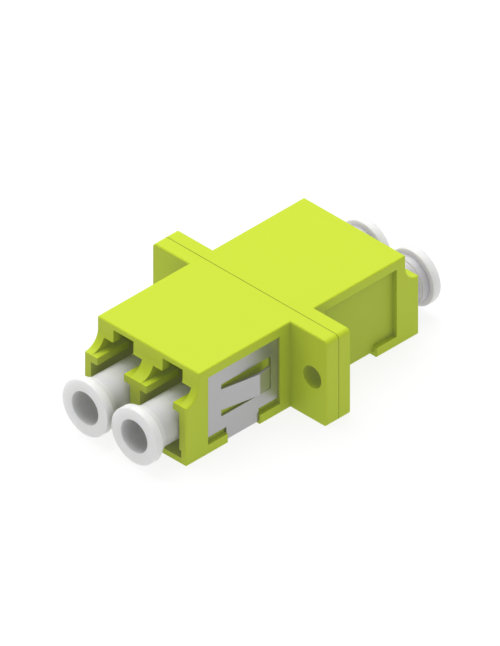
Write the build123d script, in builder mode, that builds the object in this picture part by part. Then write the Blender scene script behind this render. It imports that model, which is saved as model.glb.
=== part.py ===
from build123d import *
import os

# Duplex fibre adapter with a two-hole panel flange, in millimetres.
# X runs across the two ports, Y along the fibres and Z up.
# The origin is the middle of the welded joint between the two housing halves.

# Plug ports
port_pitch = 6.25
plug_width = 5.0
plug_below = 2.62  # fibre axis down to the port floor
plug_above = 2.23  # fibre axis up to the underside of the rails
rail_height = 0.78
rail_gap = 3.4
rail_length = 4.0
rail_corner_radius = 0.25  # under the rail on one side of each port
keyway_width = 0.24
keyway_height = 0.8
keyway_length = 2.0

# Latch space above each port
channel_width = 4.84
channel_height = 1.17  # rails up to the underside of the catches
catch_depth = 0.8
slot_width = 2.54
slot_height = 1.35
chamber_end = 5.0  # mid-plane to the back of the latch chamber

# Housing walls and outside
floor_wall = 0.7
roof_wall = 0.55
side_wall = 0.85
half_length = 14.82
relief_radius = 1.65  # quarter-round relief over the end of each half
edge_radius = 0.15  # along the body
end_chamfer = 0.1  # round its ends

# Panel flange
hole_spacing = 18.5
hole_diameter = 2.3
ear_margin = 1.85  # hole centre to the end of the flange
flange_depth = 1.53  # of one half
flange_corner_radius = 0.5
flange_chamfer = 0.1  # round the outer face
parting_gap = 0.03  # step beside the weld, on each half
parting_depth = 0.08

# Fibre sleeves and the barrels that hold them
bulkhead_depth = 1.2
sleeve_length = 6.8
sleeve_outer = 1.62
sleeve_inner = 1.249
sleeve_slit = 0.25
sleeve_chamfer = 0.06
sleeve_float = 0.05
barrel_outer = 3.0
barrel_lip = 0.55
barrel_mouth = 1.4
barrel_chamfer = 0.2
barrel_lead_in = 0.25

# Side recess and the folded panel clip in it
sheet = 0.25
clip_gap = 0.03
clip_inset = 0.21  # clip face below the side of the housing
strap_inset = 0.05  # strap face above the underside of the housing
recess_start = 2.84  # mid-plane to the near end of the recess
recess_end_margin = 2.82
recess_top_margin = 1.0
sill_height = 1.05
sill_length = 2.51
plate_lift = 0.62  # sill up to the lower edge of the clip plate
bend_radius = 0.15  # inside of the fold
punched_radius = 0.1  # corners of the plates and windows
window_front_margin = 1.85
window_rear_margin = 0.91
window_drop = 1.72  # top of the plate down to the window
window_height = 3.53
slot_above_tab = 0.545
slot_below_tab = 0.7
tab_tip_gap = 0.77
tab_tip_length = 1.45
tab_rise = 0.79
tab_tip_drop = 0.19
tab_bend_radius = 0.6
tab_overlap = 0.3

# Dust caps
cap_reach = 3.28  # end of the housing to the face of the cap
cap_rim_gap = 0.49  # between the rims of two neighbouring caps
cap_rim_depth = 0.88
cap_port_gap = 0.08  # tube to the underside of the rails
cap_shoulder_height = 0.225  # out of the tube
cap_shoulder_length = 0.85  # behind the rim
cap_grip_bore = 3.35
cap_web = 1.0
cap_fit = 0.05  # radial clearance on the barrel
cap_stop_gap = 0.1  # web to the tip of the barrel
cap_cover = 1.6  # length of barrel that the cap covers
cap_chamfer = 0.1

# Sizes that follow
plug_height = plug_below + plug_above
body_width = port_pitch + plug_width + 2 * side_wall
body_height = floor_wall + plug_height + rail_height + channel_height + slot_height + roof_wall
body_top = body_height / 2
body_side = body_width / 2
port_floor = floor_wall - body_top
fibre_height = port_floor + plug_below
rail_underside = port_floor + plug_height
ledge = rail_underside + rail_height
catch_underside = ledge + channel_height
slot_top = catch_underside + slot_height
roof_front = half_length - relief_radius
relief_height = ledge + relief_radius
flange_width = hole_spacing + 2 * ear_margin
port_places = (-port_pitch / 2, port_pitch / 2)
fibre_places = [(place, fibre_height) for place in port_places]

barrel_tip = sleeve_length / 2 + sleeve_float + barrel_lip

recess_depth = clip_inset + sheet + clip_gap
recess_end = half_length - recess_end_margin
recess_top = body_top - recess_top_margin
recess_length = recess_end - recess_start
recess_middle = (recess_end + recess_start) / 2
sill_top = sill_height - body_top
strap_space = recess_length - 2 * sill_length
strap_groove = strap_inset + sheet + clip_gap

clip_face = body_side - clip_inset
plate_top = recess_top - clip_gap
plate_bottom = sill_top + plate_lift
plate_length = recess_length - 2 * clip_gap
plate_height = plate_top - plate_bottom
window_start = recess_end - clip_gap - window_front_margin
window_stop = recess_start + clip_gap + window_rear_margin
window_middle = plate_top - window_drop - window_height / 2
tab_bottom = plate_top - window_drop - window_height + slot_below_tab
tab_height = window_height - slot_above_tab - slot_below_tab
tab_tip = window_stop + tab_tip_gap
tab_crest = tab_tip + tab_tip_length

cap_rim = (port_pitch - cap_rim_gap) / 2
cap_tube = plug_above - cap_port_gap
cap_shoulder = cap_tube + cap_shoulder_height
cap_socket = barrel_outer / 2 + cap_fit
cap_grip = cap_grip_bore / 2
cap_face = half_length + cap_reach
cap_end = barrel_tip - cap_cover
cap_web_inner = barrel_tip + cap_stop_gap
cap_rim_back = cap_face - cap_rim_depth
cap_shoulder_back = cap_rim_back - cap_shoulder_length
cap_grip_end = cap_web_inner + cap_web


def housing_body():
    # Solid body of the front half, from the mid-plane towards -Y, relieved over its end
    with BuildPart() as body:
        with BuildSketch(Plane.YZ):
            with BuildLine():
                Line((0, -body_top), (-half_length, -body_top))
                Line((-half_length, -body_top), (-half_length, ledge))
                RadiusArc((-half_length, ledge), (-roof_front, relief_height), -relief_radius)
                Line((-roof_front, relief_height), (-roof_front, body_top))
                Line((-roof_front, body_top), (0, body_top))
                Line((0, body_top), (0, -body_top))
            make_face()
        extrude(amount=body_side, both=True)
        fillet(body.edges().filter_by(Axis.Y), edge_radius)
        middle = body.edges().group_by(Axis.Y)[-1]
        relief = body.edges().filter_by(Axis.X).filter_by_position(Axis.Z, ledge, relief_height)
        chamfer(body.edges() - body.edges().filter_by(Axis.Y) - middle - relief, end_chamfer)
    return body.part


def housing_flange():
    # Panel flange of the front half, flush with the body above and below
    with BuildPart() as flange:
        with BuildSketch(Plane.XZ):
            RectangleRounded(flange_width, body_height, flange_corner_radius)
        extrude(amount=flange_depth)
        chamfer(flange.faces().sort_by(Axis.Y)[0].edges(), flange_chamfer)
    return flange.part


def housing_half():
    # One moulded half with its ports, barrels and clip recesses
    body = housing_body()
    flange = housing_flange()
    with BuildPart() as half:
        add(body)
        add(flange)

        # Step beside the weld, which leaves a fine line round the joined halves
        with BuildSketch(Plane.XZ):
            RectangleRounded(flange_width, body_height, flange_corner_radius)
            offset(amount=-parting_depth, mode=Mode.SUBTRACT)
        extrude(amount=parting_gap, mode=Mode.SUBTRACT)

        # Screw holes
        with BuildSketch(Plane.XZ):
            with GridLocations(hole_spacing, 0, 2, 1):
                Circle(hole_diameter / 2)
        extrude(amount=flange_depth, mode=Mode.SUBTRACT)

        # Port mouths between the rails, rounded under one rail, with a keyway at the floor
        with BuildSketch(Plane.XZ.offset(half_length)) as mouths:
            with Locations(*[(place, port_floor) for place in port_places]):
                Rectangle(plug_width, plug_height, align=(Align.CENTER, Align.MIN))
            upper_corners = mouths.vertices().group_by(Axis.Y)[-1].sort_by(Axis.X)
            fillet(upper_corners[1::2], rail_corner_radius)
        extrude(amount=-rail_length, mode=Mode.SUBTRACT)
        with BuildSketch(Plane.XZ.offset(half_length)):
            with Locations(*[(place + plug_width / 2, port_floor) for place in port_places]):
                Rectangle(keyway_width, keyway_height, align=(Align.MIN, Align.MIN))
        extrude(amount=-keyway_length, mode=Mode.SUBTRACT)

        # Rail gaps, plug spaces, latch channels, slots between the catches and chambers behind them
        rail_stop = half_length - rail_length
        catch_back = roof_front - catch_depth
        spaces = (
            (rail_gap, rail_underside, ledge, half_length, rail_stop),
            (plug_width, port_floor, rail_underside, rail_stop, bulkhead_depth),
            (channel_width, rail_underside, ledge, rail_stop, chamber_end),
            (channel_width, ledge, catch_underside, half_length, chamber_end),
            (slot_width, catch_underside, slot_top, half_length, catch_back),
            (channel_width, catch_underside, slot_top, catch_back, chamber_end),
        )
        for width, low, high, outer, inner in spaces:
            with BuildSketch(Plane.XZ.offset(outer)):
                with Locations(*[(place, low) for place in port_places]):
                    Rectangle(width, high - low, align=(Align.CENTER, Align.MIN))
            extrude(amount=inner - outer, mode=Mode.SUBTRACT)

        # Barrels round the fibre axes, bored for the sleeves and open at the tip
        with BuildSketch(Plane.XZ):
            with Locations(*fibre_places):
                Circle(barrel_outer / 2)
        extrude(amount=barrel_tip)
        chamfer(half.edges(Select.LAST).group_by(Axis.Y)[0], barrel_chamfer)
        with BuildSketch(Plane.XZ):
            with Locations(*fibre_places):
                Circle(sleeve_outer / 2 + sleeve_float)
        extrude(amount=barrel_tip - barrel_lip, mode=Mode.SUBTRACT)
        with BuildSketch(Plane.XZ):
            with Locations(*fibre_places):
                Circle(barrel_mouth / 2)
        extrude(amount=barrel_tip, mode=Mode.SUBTRACT)
        chamfer(half.edges(Select.LAST).group_by(Axis.Y)[0], barrel_lead_in)

        # Recesses for the clip plates, and the way round the underside for the strap between the sills
        with BuildSketch(Plane.YZ.offset(body_side - recess_depth), Plane.YZ.offset(-body_side)):
            with Locations((-recess_middle, sill_top)):
                Rectangle(recess_length, recess_top - sill_top, align=(Align.CENTER, Align.MIN))
        extrude(amount=recess_depth, mode=Mode.SUBTRACT)
        with BuildSketch(Plane.XZ.offset(recess_middle - strap_space / 2)):
            with Locations((0, -body_top)):
                Rectangle(body_width, sill_height, align=(Align.CENTER, Align.MIN))
            with Locations((0, strap_groove - body_top)):
                RectangleRounded(
                    body_width - 2 * recess_depth,
                    body_height,
                    bend_radius,
                    align=(Align.CENTER, Align.MIN),
                    mode=Mode.SUBTRACT,
                )
        extrude(amount=strap_space, mode=Mode.SUBTRACT)
    return half


def folded_clip():
    # One strip of sheet steel: a strap under the housing, a plate up each side, a tab in each
    with BuildPart() as clip:
        # Strap and the folded uprights
        strap_width = strap_space - 2 * clip_gap
        strap_face = strap_inset - body_top
        with BuildSketch(Plane.XZ.offset(recess_middle - strap_width / 2)):
            with BuildLine():
                FilletPolyline(
                    (-clip_face, plate_top),
                    (-clip_face, strap_face),
                    (clip_face, strap_face),
                    (clip_face, plate_top),
                    radius=bend_radius + sheet,
                )
                offset(amount=sheet, side=Side.LEFT)
            make_face()
        extrude(amount=strap_width)

        # Side plates with their windows
        with BuildSketch(Plane.YZ.offset(clip_face - sheet), Plane.YZ.offset(-clip_face)):
            with Locations((-recess_middle, plate_bottom)):
                RectangleRounded(plate_length, plate_height, punched_radius, align=(Align.CENTER, Align.MIN))
        extrude(amount=sheet)
        with BuildSketch(Plane.YZ):
            with Locations((-(window_start + window_stop) / 2, window_middle)):
                RectangleRounded(window_start - window_stop, window_height, punched_radius)
        extrude(amount=body_side, both=True, mode=Mode.SUBTRACT)

        # Spring tabs, rising from the outer edge of each window and turned back in at the tip
        with BuildSketch(Plane.XY.offset(tab_bottom)):
            with BuildLine():
                FilletPolyline(
                    (clip_face, -window_start - tab_overlap),
                    (clip_face, -window_start),
                    (clip_face + tab_rise, -tab_crest),
                    (clip_face + tab_rise - tab_tip_drop, -tab_tip),
                    radius=tab_bend_radius,
                )
                offset(amount=sheet, side=Side.LEFT)
            make_face()
            mirror(about=Plane.YZ)
        extrude(amount=tab_height)
    return clip


def split_sleeve():
    # Ceramic sleeve, slit along its top, lying along the fibre axis at X = 0
    with BuildPart() as sleeve:
        with BuildSketch(Plane.XZ):
            with Locations((0, fibre_height)):
                Circle(sleeve_outer / 2)
                Circle(sleeve_inner / 2, mode=Mode.SUBTRACT)
        extrude(amount=sleeve_length / 2, both=True)
        rims = sleeve.edges().filter_by(GeomType.CIRCLE).group_by(SortBy.RADIUS)[-1]
        chamfer(rims, sleeve_chamfer)
        with BuildSketch(Plane.XZ):
            with Locations((0, fibre_height)):
                Rectangle(sleeve_slit, sleeve_outer, align=(Align.CENTER, Align.MIN))
        extrude(amount=sleeve_length, both=True, mode=Mode.SUBTRACT)
    return sleeve


def dust_cap():
    # Moulded cap turned about the fibre axis, drawn in the front end at X = 0
    with BuildPart() as cap:
        with BuildSketch(Plane((0, 0, fibre_height), x_dir=(0, -1, 0), z_dir=(-1, 0, 0))):
            with BuildLine():
                Polyline(
                    (cap_web_inner, 0),
                    (cap_web_inner, cap_socket),
                    (cap_end, cap_socket),
                    (cap_end, cap_tube),
                    (cap_shoulder_back, cap_tube),
                    (cap_shoulder_back, cap_shoulder - cap_chamfer),
                    (cap_shoulder_back + cap_chamfer, cap_shoulder),
                    (cap_rim_back, cap_shoulder),
                    (cap_rim_back, cap_rim - cap_chamfer),
                    (cap_rim_back + cap_chamfer, cap_rim),
                    (cap_face - cap_chamfer, cap_rim),
                    (cap_face, cap_rim - cap_chamfer),
                    (cap_face, cap_grip + cap_chamfer),
                    (cap_face - cap_chamfer, cap_grip),
                    (cap_grip_end, cap_grip),
                    (cap_grip_end, 0),
                    close=True,
                )
            make_face()
        revolve(axis=Axis((0, 0, fibre_height), (0, 1, 0)))
    return cap


os.makedirs("parts", exist_ok=True)

half = housing_half()
for end, turn in (("front", 0), ("rear", 180)):
    with BuildPart() as housing:
        add(half.part, rotation=(0, 0, turn))
    housing.part.label = f"{end}_housing"
    export_step(housing.part, f"parts/{end}_housing.step")

panel_clip = folded_clip()
panel_clip.part.label = "panel_clip"
export_step(panel_clip.part, "parts/panel_clip.step")

sleeve = split_sleeve()
cap = dust_cap()
for side, place in zip(("left", "right"), port_places):
    with BuildPart() as placed_sleeve:
        with Locations((place, 0, 0)):
            add(sleeve.part)
    placed_sleeve.part.label = f"sleeve_{side}"
    export_step(placed_sleeve.part, f"parts/sleeve_{side}.step")

    for end, turn in (("front", 0), ("rear", 180)):
        with BuildPart() as placed_cap:
            with Locations((place, 0, 0)):
                add(cap.part, rotation=(0, 0, turn))
        placed_cap.part.label = f"dust_cap_{end}_{side}"
        export_step(placed_cap.part, f"parts/dust_cap_{end}_{side}.step")
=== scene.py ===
import math

import bmesh
import bpy
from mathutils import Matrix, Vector


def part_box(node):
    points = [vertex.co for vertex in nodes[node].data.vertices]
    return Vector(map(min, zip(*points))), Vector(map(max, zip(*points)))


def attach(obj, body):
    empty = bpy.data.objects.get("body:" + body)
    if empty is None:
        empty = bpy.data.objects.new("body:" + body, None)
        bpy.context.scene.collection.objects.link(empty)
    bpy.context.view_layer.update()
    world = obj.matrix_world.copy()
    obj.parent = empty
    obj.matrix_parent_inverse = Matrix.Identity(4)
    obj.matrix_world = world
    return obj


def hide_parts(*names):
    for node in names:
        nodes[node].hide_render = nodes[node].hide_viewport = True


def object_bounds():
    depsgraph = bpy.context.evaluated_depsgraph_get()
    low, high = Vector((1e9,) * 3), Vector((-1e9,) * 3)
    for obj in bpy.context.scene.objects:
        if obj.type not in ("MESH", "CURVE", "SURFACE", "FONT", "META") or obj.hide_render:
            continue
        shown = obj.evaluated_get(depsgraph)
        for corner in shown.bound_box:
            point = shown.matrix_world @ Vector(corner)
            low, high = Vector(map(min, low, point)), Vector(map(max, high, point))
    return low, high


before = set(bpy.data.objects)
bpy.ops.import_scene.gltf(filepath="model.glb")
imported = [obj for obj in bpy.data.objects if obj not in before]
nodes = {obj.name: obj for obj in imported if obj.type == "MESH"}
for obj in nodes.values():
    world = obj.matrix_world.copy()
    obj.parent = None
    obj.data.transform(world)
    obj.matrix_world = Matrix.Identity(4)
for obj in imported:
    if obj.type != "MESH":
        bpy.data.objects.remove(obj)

# Duplex fibre adapter with dust caps. Metres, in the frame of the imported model.
cadBox = [list(corner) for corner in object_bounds()]
mm = 0.001
print("frame loaded:", len(nodes), "nodes")


# Helpers for node trees

sampling = {"roundedEdge": 4, "crease": 8}  # rays for each shaded point


def plug(tree, socket, value):
    # the value is a constant or an output socket
    if isinstance(value, bpy.types.NodeSocket):
        tree.links.new(value, socket)
    else:
        socket.default_value = value


def setInputs(tree, node, **values):
    for name, value in values.items():
        plug(tree, node.inputs[name.replace("_", " ")], value)


def addNode(tree, kind, **values):
    node = tree.nodes.new(kind)
    setInputs(tree, node, **values)
    return node


def wire(tree, source, output, target, socket):
    tree.links.new(source.outputs[output], target.inputs[socket])


def calculate(tree, operation, *values):
    node = tree.nodes.new("ShaderNodeMath")
    node.operation = operation
    for socket, value in zip(node.inputs, values):
        plug(tree, socket, value)
    return node.outputs[0]


def ramp(tree, value, start, end, atStart, atEnd):
    # straight from one level to the other, and level beyond both ends
    scale = addNode(
        tree, "ShaderNodeMapRange",
        Value=value, From_Min=start, From_Max=end, To_Min=atStart, To_Max=atEnd,
    )
    return scale.outputs["Result"]


def mixColours(tree, factor, first, second):
    blend = tree.nodes.new("ShaderNodeMix")
    blend.data_type = "RGBA"
    sockets = {socket.identifier: socket for socket in blend.inputs}
    plug(tree, blend.inputs["Factor"], factor)
    plug(tree, sockets["A_Color"], first)
    plug(tree, sockets["B_Color"], second)
    return next(socket for socket in blend.outputs if socket.identifier == "Result_Color")


def newMaterial(name):
    material = bpy.data.materials.new(name)
    material.use_nodes = True
    tree = material.node_tree
    shader = tree.nodes["Principled BSDF"]
    return material, tree, shader


def makePattern(tree, pattern):
    # noise that stays with the piece, stretched along its own axes
    where = tree.nodes.new("ShaderNodeTexCoord")
    mapping = addNode(tree, "ShaderNodeMapping", Vector=where.outputs["Object"], Scale=pattern["stretch"])
    noise = addNode(
        tree, "ShaderNodeTexNoise", Vector=mapping.outputs["Vector"],
        Scale=1 / pattern["size"], Detail=pattern["detail"], Roughness=pattern["roughness"],
    )
    return noise.outputs["Fac"]


def addBump(tree, shader, height, look):
    # fine relief over edges that shade as slightly rounded ones
    soft = addNode(tree, "ShaderNodeBevel", Radius=look["edge"])
    soft.samples = sampling["roundedEdge"]
    bump = addNode(
        tree, "ShaderNodeBump", Height=height, Normal=soft.outputs["Normal"],
        Strength=look["reliefStrength"], Distance=look["reliefDepth"],
    )
    wire(tree, bump, "Normal", shader, "Normal")


def shadeCreases(tree, shader, colour, look, strength):
    # painted shade: the base colour darkens towards the crease shade colour in corners, bores and slots, as
    # far as ambient occlusion finds them closed; returns how open each place is
    hollow = addNode(tree, "ShaderNodeAmbientOcclusion", Distance=look["creaseReach"])
    hollow.samples = sampling["crease"]
    openness = hollow.outputs["AO"]
    clear = calculate(tree, "POWER", openness, strength)
    setInputs(tree, shader, Base_Color=mixColours(tree, clear, look["creaseShadeColour"], colour))
    return openness


# Lime plastic of the two housing halves

limeLook = {
    "colour": (0.609, 0.758, 0.027, 1),
    "deepColour": (0.599, 0.742, 0.026, 1),
    "uprightShadeColour": (0.594, 0.728, 0.056, 1),  # painted shade: upright faces get a darker, less saturated copy of the colour than faces that look up
    "recessShadeColour": (0.525, 0.642, 0.062, 1),  # painted shade in the side recess
    "recessReach": 6.4 * mm,  # from the middle plane
    "recessTurn": 0.7,  # only faces that look this far along X
    "roughness": 0.5,
    "shine": 0.18,
    "grain": {"size": 0.09 * mm, "detail": 2, "roughness": 0.6, "stretch": (1, 1, 1)},  # moulded texture
    "clouds": {"size": 6 * mm, "detail": 3, "roughness": 0.5, "stretch": (1, 1, 1)},  # faint flow marks
    "reliefDepth": 0.004 * mm,
    "reliefStrength": 0.35,
    "edge": 0.05 * mm,
    # painted shade in corners and hollows
    "creaseReach": 3.2 * mm,
    "creaseStrength": 0.66,
    "creaseShadeColour": (0.180, 0.195, 0.060, 1),
    "throughColour": (0.90, 1.0, 0.40, 1),  # light that comes through the walls of the ports
    "throughLight": 0.08,
    "throughPower": 2,  # a higher one keeps it to deeper places
}


def limeColourAndShade(tree, look):
    # painted shade: upright faces get a darker, less saturated copy of the colour, and turned faces in the
    # side recess of the rear half are painted darker still
    place = tree.nodes.new("ShaderNodeTexCoord")
    facing = addNode(tree, "ShaderNodeSeparateXYZ", Vector=place.outputs["Normal"])
    where = addNode(tree, "ShaderNodeSeparateXYZ", Vector=place.outputs["Object"])
    across = calculate(tree, "ABSOLUTE", where.outputs["X"])
    sideways = calculate(tree, "ABSOLUTE", facing.outputs["X"])
    upward = calculate(tree, "ABSOLUTE", facing.outputs["Z"])
    inward = calculate(tree, "LESS_THAN", across, look["recessReach"])
    rear = calculate(tree, "GREATER_THAN", where.outputs["Y"], 0)
    turned = calculate(tree, "GREATER_THAN", sideways, look["recessTurn"])
    recess = calculate(tree, "MULTIPLY", calculate(tree, "MULTIPLY", inward, rear), turned)
    # painted shade: turned faces in the rear side recess take a darker colour
    side = mixColours(tree, recess, look["uprightShadeColour"], look["recessShadeColour"])
    level = mixColours(tree, makePattern(tree, look["clouds"]), look["deepColour"], look["colour"])
    # faces that look up keep the top colour, upright faces take the painted shade
    return mixColours(tree, upward, side, level)


def makeLime(look):
    material, tree, shader = newMaterial("limePlastic")
    openness = shadeCreases(tree, shader, limeColourAndShade(tree, look), look, look["creaseStrength"])
    deep = calculate(tree, "POWER", calculate(tree, "SUBTRACT", 1, openness), look["throughPower"])
    addBump(tree, shader, makePattern(tree, look["grain"]), look)
    setInputs(
        tree, shader, Roughness=look["roughness"], Specular_IOR_Level=look["shine"],
        Emission_Color=look["throughColour"],
        Emission_Strength=calculate(tree, "MULTIPLY", deep, look["throughLight"]),
    )
    return material


# Rolled steel of the panel clip

steelLook = {
    "colour": (0.440, 0.440, 0.445, 1),
    "polish": 0.78,  # the rest is a dull mill finish
    "roughness": 0.30,
    "roughnessSpread": 0.02,
    # rolling lines that run round the strip
    "lines": {"size": 0.05 * mm, "detail": 3, "roughness": 0.6, "stretch": (0.02, 1, 0.02)},
    "reliefDepth": 0.0006 * mm,
    "reliefStrength": 0.4,
    "edge": 0.03 * mm,
    # painted shade in corners
    "creaseReach": 0.6 * mm,
    "creaseStrength": 0.05,
    "creaseShadeColour": (0.12, 0.12, 0.11, 1),
}


def makeSteel(look):
    material, tree, shader = newMaterial("clipSteel")
    lines = makePattern(tree, look["lines"])
    smooth = look["roughness"] - look["roughnessSpread"]
    rough = look["roughness"] + look["roughnessSpread"]
    addBump(tree, shader, lines, look)
    shadeCreases(tree, shader, look["colour"], look, look["creaseStrength"])
    setInputs(tree, shader, Metallic=look["polish"], Roughness=ramp(tree, lines, 0, 1, smooth, rough))
    return material


# Ground ceramic of the alignment sleeves

ceramicLook = {
    "colour": (0.86, 0.85, 0.81, 1),
    "roughness": 0.22,
    # ground round the sleeve
    "lines": {"size": 0.02 * mm, "detail": 2, "roughness": 0.5, "stretch": (0.05, 1, 0.05)},
    "reliefDepth": 0.0005 * mm,
    "reliefStrength": 0.3,
    "edge": 0.02 * mm,
}


def makeCeramic(look):
    material, tree, shader = newMaterial("sleeveCeramic")
    addBump(tree, shader, makePattern(tree, look["lines"]), look)
    setInputs(tree, shader, Base_Color=look["colour"], Roughness=look["roughness"])
    return material


limePlastic = makeLime(limeLook)
clipSteel = makeSteel(steelLook)
sleeveCeramic = makeCeramic(ceramicLook)

finishOf = {
    "front_housing": limePlastic,
    "rear_housing": limePlastic,
    "panel_clip": clipSteel,
    "sleeve_left": sleeveCeramic,
    "sleeve_right": sleeveCeramic,
}
for name, material in finishOf.items():
    nodes[name].data.materials.clear()
    nodes[name].data.materials.append(material)
print("housings, clip and sleeves finished")


# Dust caps, turned from one half section

capSizes = {  # in mm
    "rim": 5.76, "rimDepth": 0.88, "tube": 4.3, "shoulder": 4.75, "shoulderDepth": 0.85,
    "bore": 3.35, "socket": 3.1, "innerEnd": 2.4, "socketEnd": 4.1, "boreEnd": 5.1,
    "rimRound": 0.05, "shoulderRound": 0.12, "boreRound": 0.08, "cornerRound": 0.04, "tubeFillet": 0.17,
    "gateRadius": 0.35, "gateHeight": 0.08,  # mark left by the gate, deep in the bore
    "segments": 96, "roundSteps": 4,
    "pathRadius": 1.0,
    "mergeDistance": 0.002,
}

capLook = {
    "colour": (0.94, 0.94, 0.945, 1),
    "faceLightColour": (1.0, 1.0, 1.0, 1),  # painted light: the flat end of the rim is kept brighter than the rest of the rim
    "shoulderShadeColour": (0.85, 0.84, 0.87, 1),  # painted shade on the shoulder
    # painted shade on the tube outside the port
    "tubeShadeColour": (0.80, 0.785, 0.84, 1),
    "innerLightColour": (0.96, 0.943, 0.985, 1),  # painted light on the tube inside the port
    "rearShadeColour": (0.67, 0.655, 0.71, 1),  # painted shade on the tubes and shoulders of the rear caps
    "backLightColour": (0.94, 0.905, 1.0, 1),  # painted light: lighter and bluer on the sides of the rim and the shoulder towards the housing, against the shade and the green light from the housing there
    "roughness": 0.38,
    "grain": {"size": 0.06 * mm, "detail": 2, "roughness": 0.5, "stretch": (1, 1, 1)},
    "reliefDepth": 0.002 * mm,
    "reliefStrength": 0.3,
    "glow": 0.8,  # how milky the plastic is
    "glowDepth": 1.2 * mm,
    "glowSpread": (1, 1, 0.9),
    "edge": 0.03 * mm,
    # painted shade in corners, at the port and in the bore
    "creaseReach": 2.5 * mm,
    "creaseShadeColour": (0.10, 0.10, 0.10, 1),
    "creaseAtRim": 0.5,
    "creaseAtPort": 0.1,  # where the tube goes into the housing
    "creaseInBore": 1.9,
    "throughColour": (1, 1, 1, 1),  # light that comes through the walls deep in the bore
    "throughLight": 0.05,
    "throughStart": 16.5 * mm, "throughFull": 9.0 * mm,  # these three pairs from the mid-plane
    "portEnd": 14.9 * mm, "rimStart": 16.0 * mm,
    "innerStart": 15.7 * mm, "innerFull": 14.0 * mm,
    "boreMargin": 0.025 * mm, "faceMargin": 0.02 * mm, "rimBackMargin": 0.03 * mm,
    "stepShift": 0.05 * mm, "stepMargin": 0.08 * mm,  # rounding between tube and shoulder
}


def capPlace(node):
    # middle of a cap, and how far its end face is from the mid-plane, in metres
    low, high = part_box(node)
    return (low + high) / 2, max(abs(low.y), abs(high.y))


def capShading(tree, sizes, look):
    # painted light and shade by place on the cap: the zone colours, the strength of the painted crease shade
    # and the light through the walls; the strength is least at the port, more at the rim and most in the
    # bore
    middle, face = capPlace("dust_cap_front_left")  # the other three mirror it
    rimBack = face - sizes["rimDepth"] * mm
    shoulderBack = rimBack - sizes["shoulderDepth"] * mm
    place = tree.nodes.new("ShaderNodeTexCoord")
    where = addNode(tree, "ShaderNodeSeparateXYZ", Vector=place.outputs["Object"])
    x, y, z = where.outputs
    across = calculate(tree, "SUBTRACT", calculate(tree, "ABSOLUTE", x), abs(middle.x))
    above = calculate(tree, "SUBTRACT", z, middle.z)
    squares = [calculate(tree, "POWER", distance, 2) for distance in (across, above)]
    radius = calculate(tree, "SQRT", calculate(tree, "ADD", *squares))
    inside = calculate(tree, "LESS_THAN", radius, sizes["bore"] / 2 * mm + look["boreMargin"])
    reach = calculate(tree, "ABSOLUTE", y)
    shoulder = calculate(tree, "GREATER_THAN", reach, shoulderBack)
    rim = calculate(tree, "GREATER_THAN", reach, rimBack)
    rimSide = calculate(tree, "COMPARE", reach, rimBack, look["rimBackMargin"])
    step = calculate(tree, "COMPARE", reach, shoulderBack - look["stepShift"], look["stepMargin"])
    # painted shade: the tube and the shoulder start from their darker colours
    colour = mixColours(tree, shoulder, look["tubeShadeColour"], look["shoulderShadeColour"])
    # painted light and shade zones, each laid over the last: rear caps, tube inside the port, base colour on
    # rim and bore, end face, sides towards the housing
    for zone, zoneColour in (
        (calculate(tree, "GREATER_THAN", y, 0), look["rearShadeColour"]),
        (ramp(tree, reach, look["innerStart"], look["innerFull"], 0, 1), look["innerLightColour"]),
        (calculate(tree, "MAXIMUM", inside, rim), look["colour"]),
        (calculate(tree, "GREATER_THAN", reach, face - look["faceMargin"]), look["faceLightColour"]),
        (calculate(tree, "MAXIMUM", rimSide, step), look["backLightColour"]),
    ):
        colour = mixColours(tree, zone, colour, zoneColour)
    along = ramp(tree, reach, look["portEnd"], look["rimStart"], look["creaseAtPort"], look["creaseAtRim"])
    outside = calculate(tree, "MULTIPLY", along, calculate(tree, "SUBTRACT", 1, inside))
    bore = calculate(tree, "MULTIPLY", inside, look["creaseInBore"])
    deep = ramp(tree, reach, look["throughStart"], look["throughFull"], 0, look["throughLight"])
    return colour, calculate(tree, "ADD", outside, bore), calculate(tree, "MULTIPLY", inside, deep)


def makeCapWhite(sizes, look):
    material, tree, shader = newMaterial("capPlastic")
    addBump(tree, shader, makePattern(tree, look["grain"]), look)
    colour, strength, through = capShading(tree, sizes, look)
    shadeCreases(tree, shader, colour, look, strength)
    setInputs(
        tree, shader, Roughness=look["roughness"],
        Emission_Color=look["throughColour"], Emission_Strength=through,
        Subsurface_Weight=look["glow"], Subsurface_Radius=look["glowSpread"],
        Subsurface_Scale=look["glowDepth"],
    )
    return material


def capProfile(sizes, face):
    # half section as (radius, distance from the mid-plane, rounding), in mm
    rimBack = face - sizes["rimDepth"]
    shoulderBack = rimBack - sizes["shoulderDepth"]
    corner, rimRound, shoulderRound = sizes["cornerRound"], sizes["rimRound"], sizes["shoulderRound"]
    return [
        (0, sizes["socketEnd"], 0),
        (sizes["socket"] / 2, sizes["socketEnd"], corner),
        (sizes["socket"] / 2, sizes["innerEnd"], corner),
        (sizes["tube"] / 2, sizes["innerEnd"], shoulderRound),
        (sizes["tube"] / 2, shoulderBack, sizes["tubeFillet"]),
        (sizes["shoulder"] / 2, shoulderBack, shoulderRound),
        (sizes["shoulder"] / 2, rimBack, corner),
        (sizes["rim"] / 2, rimBack, rimRound),
        (sizes["rim"] / 2, face, rimRound),
        (sizes["bore"] / 2, face, sizes["boreRound"]),
        (sizes["bore"] / 2, sizes["boreEnd"], sizes["boreRound"]),
        (sizes["gateRadius"], sizes["boreEnd"], corner),
        (sizes["gateRadius"], sizes["boreEnd"] + sizes["gateHeight"], corner),
        (0, sizes["boreEnd"] + sizes["gateHeight"], 0),
    ]


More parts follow.
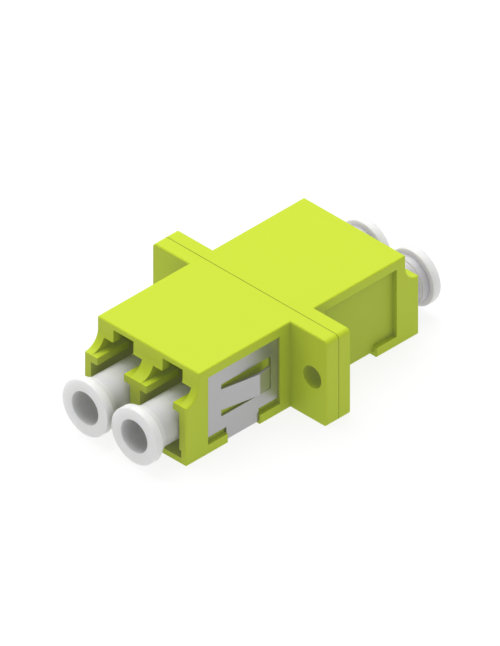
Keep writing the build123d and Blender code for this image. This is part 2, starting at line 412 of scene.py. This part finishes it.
def turnedTree():
    # turns an open half section about its axis, with a rounding at each point
    tree = bpy.data.node_groups.new("turnedMoulding", "GeometryNodeTree")
    sockets = {}
    for label, direction, kind in (
        ("Geometry", "INPUT", "NodeSocketGeometry"),
        ("Segments", "INPUT", "NodeSocketInt"),
        ("Round steps", "INPUT", "NodeSocketInt"),
        ("Path radius", "INPUT", "NodeSocketFloat"),
        ("Merge distance", "INPUT", "NodeSocketFloat"),
        ("Turn", "INPUT", "NodeSocketRotation"),
        ("Place", "INPUT", "NodeSocketVector"),
        ("Material", "INPUT", "NodeSocketMaterial"),
        ("Geometry", "OUTPUT", "NodeSocketGeometry"),
    ):
        socket = tree.interface.new_socket(label, in_out=direction, socket_type=kind)
        sockets[label, direction] = socket.identifier
    inputs = tree.nodes.new("NodeGroupInput")
    result = tree.nodes.new("NodeGroupOutput")
    path = tree.nodes.new("GeometryNodeCurvePrimitiveCircle")
    rounding = tree.nodes.new("GeometryNodeInputRadius")
    fillet = tree.nodes.new("GeometryNodeFilletCurve")
    fillet.inputs["Limit Radius"].default_value = True
    fillet.mode = "POLY"
    sweep = tree.nodes.new("GeometryNodeCurveToMesh")
    place = tree.nodes.new("GeometryNodeTransform")
    merge = tree.nodes.new("GeometryNodeMergeByDistance")
    smooth = tree.nodes.new("GeometryNodeSetShadeSmooth")
    realize = tree.nodes.new("GeometryNodeRealizeInstances")
    paint = tree.nodes.new("GeometryNodeSetMaterial")
    for link in (
        (inputs, "Segments", path, "Resolution"),
        (inputs, "Path radius", path, "Radius"),
        (inputs, "Geometry", fillet, "Curve"),
        (inputs, "Round steps", fillet, "Count"),
        (rounding, "Radius", fillet, "Radius"),
        (path, "Curve", sweep, "Curve"),
        (fillet, "Curve", sweep, "Profile Curve"),
        (sweep, "Mesh", merge, "Geometry"),
        (inputs, "Merge distance", merge, "Distance"),
        (merge, "Geometry", place, "Geometry"),
        (inputs, "Turn", place, "Rotation"),
        (inputs, "Place", place, "Translation"),
        (place, "Geometry", smooth, "Geometry"),
        (smooth, "Geometry", realize, "Geometry"),
        (realize, "Geometry", paint, "Geometry"),
        (inputs, "Material", paint, "Material"),
        (paint, "Geometry", result, "Geometry"),
    ):
        wire(tree, *link)
    return tree, sockets


def plainMesh(source, name):
    # the evaluated object as a plain mesh object, with the source taken away
    bpy.context.view_layer.update()
    graph = bpy.context.evaluated_depsgraph_get()
    mesh = bpy.data.meshes.new_from_object(source.evaluated_get(graph), depsgraph=graph)
    mesh.name = name
    bpy.data.objects.remove(source)
    piece = bpy.data.objects.new(name, mesh)
    bpy.context.scene.collection.objects.link(piece)
    return piece


def faceOutwards(piece):
    solid = bmesh.new()
    solid.from_mesh(piece.data)
    bmesh.ops.recalc_face_normals(solid, faces=solid.faces)
    solid.to_mesh(piece.data)
    solid.free()


def makeCap(node, tree, sockets, sizes, material):
    middle, face = capPlace(node)
    front = middle.y < 0
    curve = bpy.data.curves.new("capProfile", "CURVE")
    curve.dimensions = "3D"
    line = curve.splines.new("POLY")
    profile = capProfile(sizes, face / mm)
    line.points.add(len(profile) - 1)
    for point, (radius, distance, rounding) in zip(line.points, profile):
        point.co = ((radius - sizes["pathRadius"]) * mm, distance * mm, 0, 1)
        point.radius = rounding * mm
    source = bpy.data.objects.new("capProfile", curve)
    bpy.context.scene.collection.objects.link(source)
    modifier = source.modifiers.new("turned", "NODES")
    modifier.node_group = tree
    for label, value in (
        ("Segments", sizes["segments"]),
        ("Round steps", sizes["roundSteps"]),
        ("Path radius", sizes["pathRadius"] * mm),
        ("Merge distance", sizes["mergeDistance"] * mm),
        ("Turn", (math.radians(-90 if front else 90), 0, 0)),
        ("Place", (middle.x, 0, middle.z)),
        ("Material", material),
    ):
        modifier[sockets[label, "INPUT"]] = value
    cap = plainMesh(source, node + "_moulding")
    faceOutwards(cap)
    return cap


capPlastic = makeCapWhite(capSizes, capLook)
capTree, capSockets = turnedTree()
for node, body in (
    ("dust_cap_front_left", "cap_front_left"),
    ("dust_cap_front_right", "cap_front_right"),
    ("dust_cap_rear_left", "cap_rear_left"),
    ("dust_cap_rear_right", "cap_rear_right"),
):
    cap = makeCap(node, capTree, capSockets, capSizes, capPlastic)
    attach(cap, body)
    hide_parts(node)
    print("cap", node, len(cap.data.polygons), "faces")


# Floor, light and camera

studio = {
    "floorColour": (0.35, 0.35, 0.35, 1),
    "tableGlow": 0.47,  # the floor is a light table
    "floorSeen": (0.20, 0.20, 0.20, 1),  # what the camera and the reflections see of its shading
    "floorWhite": 0.84,  # and of plain white
    "floorSize": 3.0,
    "floorGap": 0.02 * mm,  # keeps it apart from the underside
    "skyLevel": 0.46,
    "skyColour": (1, 1, 1, 1),
    "skySeen": 1,
    "keyPower": 2.25, "keySize": 0.5, "keyPlace": (-0.195, 0.065, 0.47),
}


def seenDirectly(tree):
    # 1 for what the camera sees, also in metal and through clear pieces
    rays = tree.nodes.new("ShaderNodeLightPath")
    camera, glossy, clear = (rays.outputs[f"Is {kind} Ray"] for kind in ("Camera", "Glossy", "Transmission"))
    return calculate(tree, "MAXIMUM", calculate(tree, "MAXIMUM", camera, glossy), clear)


def makeFloorMaterial(values):
    material = bpy.data.materials.new("paleFloor")
    material.use_nodes = True
    tree = material.node_tree
    tree.nodes.clear()
    seen = seenDirectly(tree)
    more = calculate(tree, "MULTIPLY", seen, values["floorWhite"] - values["tableGlow"])
    shade = mixColours(tree, seen, values["floorColour"], values["floorSeen"])
    lit = addNode(tree, "ShaderNodeBsdfDiffuse", Color=shade)
    white = addNode(tree, "ShaderNodeEmission", Strength=calculate(tree, "ADD", more, values["tableGlow"]))
    both = tree.nodes.new("ShaderNodeAddShader")
    output = tree.nodes.new("ShaderNodeOutputMaterial")
    wire(tree, lit, 0, both, 0)
    wire(tree, white, 0, both, 1)
    wire(tree, both, 0, output, "Surface")
    return material


def makeFloor(values, height):
    mesh = bpy.data.meshes.new("floor")
    half = values["floorSize"] / 2
    corners = [(-half, -half, height), (half, -half, height), (half, half, height), (-half, half, height)]
    mesh.from_pydata(corners, [], [(0, 1, 2, 3)])
    mesh.materials.append(makeFloorMaterial(values))
    floor = bpy.data.objects.new("floor", mesh)
    bpy.context.scene.collection.objects.link(floor)
    floor.visible_shadow = False  # the sky fills the underside, as in an open light tent


def makeSky(values):
    world = bpy.data.worlds.new("studio")
    bpy.context.scene.world = world
    world.use_nodes = True
    tree = world.node_tree
    tree.nodes.clear()
    output = tree.nodes.new("ShaderNodeOutputWorld")
    soft = addNode(tree, "ShaderNodeBackground", Color=values["skyColour"], Strength=values["skyLevel"])
    white = addNode(tree, "ShaderNodeBackground", Color=values["skyColour"], Strength=values["skySeen"])
    choose = tree.nodes.new("ShaderNodeMixShader")
    plug(tree, choose.inputs[0], seenDirectly(tree))
    wire(tree, soft, 0, choose, 1)
    wire(tree, white, 0, choose, 2)
    wire(tree, choose, 0, output, "Surface")


def makeKey(values):
    lamp = bpy.data.lights.new("key", "AREA")
    lamp.shape = "SQUARE"
    lamp.size = values["keySize"]
    lamp.energy = values["keyPower"]
    key = bpy.data.objects.new("key", lamp)
    bpy.context.scene.collection.objects.link(key)
    key.location = values["keyPlace"]
    key.rotation_mode = "QUATERNION"
    key.rotation_quaternion = (-Vector(values["keyPlace"])).to_track_quat("-Z", "Y")


lens = {
    "azimuth": 45,
    "elevation": 35,
    "span": 58.13 * mm,  # height of the picture at the object
    "right": -0.140 * mm,
    "up": 0.484 * mm,
    "away": 0.3,
    "nearest": 0.01,
    "farthest": 10,
}


def makeCamera(values):
    around, above = math.radians(values["azimuth"]), math.radians(values["elevation"])
    back = Vector((math.sin(around) * math.cos(above), -math.cos(around) * math.cos(above), math.sin(above)))
    right = Vector((math.cos(around), math.sin(around), 0))
    up = back.cross(right)
    data = bpy.data.cameras.new("camera")
    data.type = "ORTHO"
    data.ortho_scale = values["span"]
    data.clip_start, data.clip_end = values["nearest"], values["farthest"]
    camera = bpy.data.objects.new("camera", data)
    bpy.context.scene.collection.objects.link(camera)
    camera.location = right * values["right"] + up * values["up"] + back * values["away"]
    camera.rotation_mode = "QUATERNION"
    camera.rotation_quaternion = (-back).to_track_quat("-Z", "Y")
    bpy.context.scene.camera = camera


makeFloor(studio, cadBox[0][2] - studio["floorGap"])
makeSky(studio)
makeKey(studio)
makeCamera(lens)
bpy.context.scene.view_settings.view_transform = "Standard"
print("studio ready")
